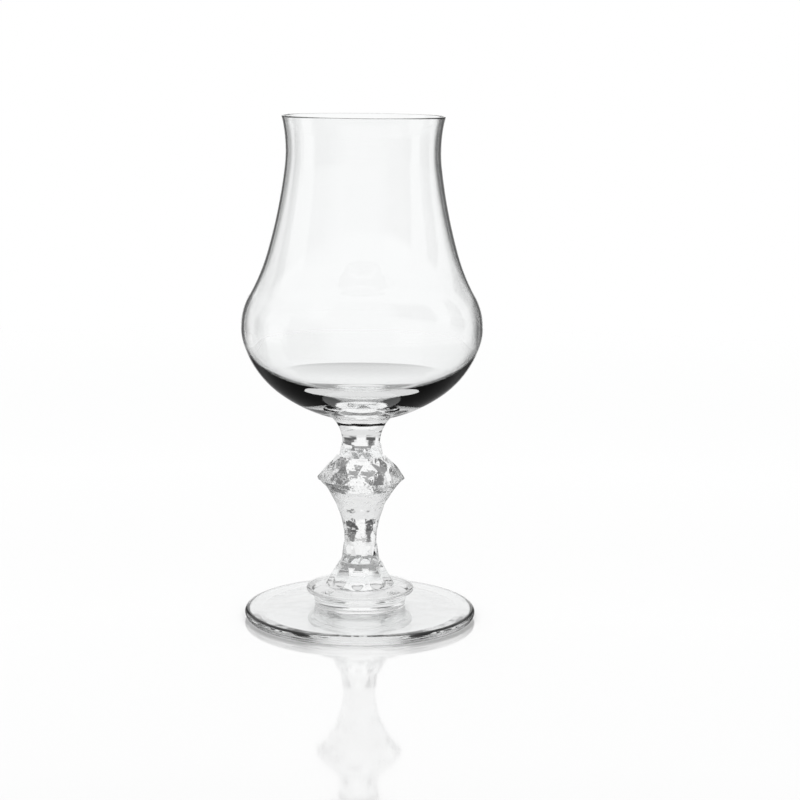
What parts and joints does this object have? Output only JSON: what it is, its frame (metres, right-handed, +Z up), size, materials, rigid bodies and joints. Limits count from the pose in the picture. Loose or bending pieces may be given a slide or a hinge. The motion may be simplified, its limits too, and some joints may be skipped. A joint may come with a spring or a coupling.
{
  "type": "stemmed nosing glass",
  "caption": "Stemmed drinking glass: wide belly, long drawn-in shoulder and flared lip on a cut stem and round foot. Holds wine or spirits.",
  "frame": {"origin": "middle of the resting ring, on the table, under the glass", "axes": "+Z up along the axis of the glass; the glass is round, so X and Y are level and otherwise free"},
  "size_m": [0.081, 0.081, 0.17],
  "materials": {
    "blown_glass": "clear, fire polished",
    "cut_glass": "clear, cut and polished",
    "foot_glass": "clear, pressed and fire polished"
  },
  "bodies": {
    "root": {"foot": "foot_glass", "pedestal": "foot_glass", "skirt": "cut_glass", "lower_collar": "cut_glass", "baluster": "cut_glass", "knop": "cut_glass", "upper_collar": "cut_glass", "neck": "blown_glass", "bowl": "blown_glass"}
  },
  "joints": []
}
